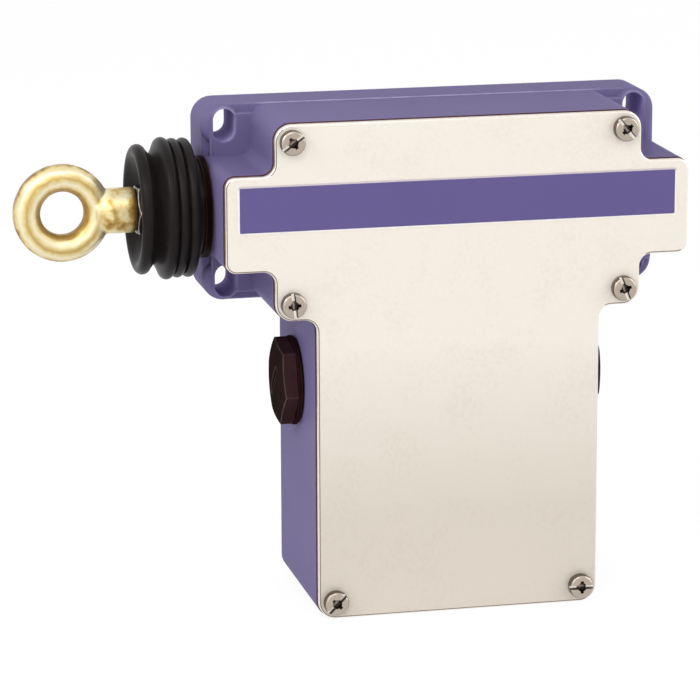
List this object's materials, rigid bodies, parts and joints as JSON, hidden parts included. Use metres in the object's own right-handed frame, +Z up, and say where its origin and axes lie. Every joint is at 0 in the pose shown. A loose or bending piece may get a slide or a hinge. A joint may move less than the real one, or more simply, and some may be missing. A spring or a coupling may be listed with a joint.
{
  "type": "rope pull switch",
  "caption": "Single-ended rope pull switch: T-shaped die-cast housing with screwed cover, bellows, eye for the rope, return spring, cam sleeve and contact blocks.",
  "frame": {"origin": "centre of the four fixing slots, on the flat back face that lies on the machine", "axes": "+Y goes out of the back face into the mounting surface, so the cover faces -Y; +Z is up; the eye points to -X, and the rod slides along X"},
  "size_m": [0.1876, 0.0536, 0.1429],
  "materials": {
    "housing_paint": "satin violet paint on a die-cast body",
    "cover_metal": "fine matt nickel-coloured sheet",
    "gasket_rubber": "matt red-brown",
    "band_foil": "satin violet foil",
    "zinc_steel": "bright zinc plating",
    "yellow_steel": "yellow passivated zinc",
    "black_rubber": "soft satin",
    "dark_plastic": "moulded brown-black",
    "spring_steel": "drawn wire",
    "bronze": "sintered",
    "cam_plastic": "natural acetal",
    "block_plastic": "moulded dark grey",
    "plunger_plastic": "moulded red",
    "contact_brass": "bright strip"
  },
  "bodies": {
    "housing": {"housing": "housing_paint", "cover_gasket": "gasket_rubber", "cover_plate": "cover_metal", "cover_band": "band_foil", "cover_screws": "zinc_steel", "conduit_plug_left": "dark_plastic", "conduit_plug_right": "dark_plastic", "plug_seals": "black_rubber", "gland_collar": "dark_plastic", "bellows": "black_rubber", "rod_seal": "black_rubber", "guide_bush_left": "bronze", "guide_bush_right": "bronze", "spring_washer": "zinc_steel", "return_spring": "spring_steel", "mounting_plate": "zinc_steel", "mounting_plate_screws": "zinc_steel", "block_screws": "zinc_steel", "contact_block_left": "block_plastic", "contact_block_right": "block_plastic", "plunger_spring_left": "spring_steel", "plunger_spring_right": "spring_steel", "fixed_contacts": "contact_brass", "terminal_clamps": "zinc_steel", "terminal_screws": "zinc_steel", "earth_screw": "zinc_steel", "earth_clamp": "contact_brass"},
    "rod": {"eye_nut": "yellow_steel", "lock_nut": "zinc_steel", "pull_rod": "zinc_steel", "spring_cup": "zinc_steel", "cup_clip": "spring_steel", "cam_sleeve": "cam_plastic", "cam_pin": "spring_steel", "stop_collar": "zinc_steel", "stop_screw": "spring_steel"},
    "plunger_left": {"plunger_left": "plunger_plastic", "bridges_left": "contact_brass", "contact_spring_left": "spring_steel"},
    "plunger_right": {"plunger_right": "plunger_plastic", "bridges_right": "contact_brass", "contact_spring_right": "spring_steel"}
  },
  "joints": [
    {"name": "pull", "type": "slide", "parent": "housing", "child": "rod", "axis": [-1, 0, 0], "range_m": [0, 0.008], "stiffness_N_per_m": 5000, "springref_m": -0.006, "deforming": ["bellows", "return_spring"]},
    {"name": "plunger_left", "type": "slide", "parent": "housing", "child": "plunger_left", "axis": [0, 0, -1], "range_m": [0, 0.0029], "stiffness_N_per_m": 300, "springref_m": -0.003, "deforming": ["plunger_spring_left"]},
    {"name": "plunger_right", "type": "slide", "parent": "housing", "child": "plunger_right", "axis": [0, 0, -1], "range_m": [0, 0.0029], "stiffness_N_per_m": 300, "springref_m": -0.003, "deforming": ["plunger_spring_right"]}
  ],
  "couplings": [
    {"joint": "plunger_left", "follows": "pull", "ratio": 0.35},
    {"joint": "plunger_right", "follows": "pull", "ratio": 0.35}
  ]
}
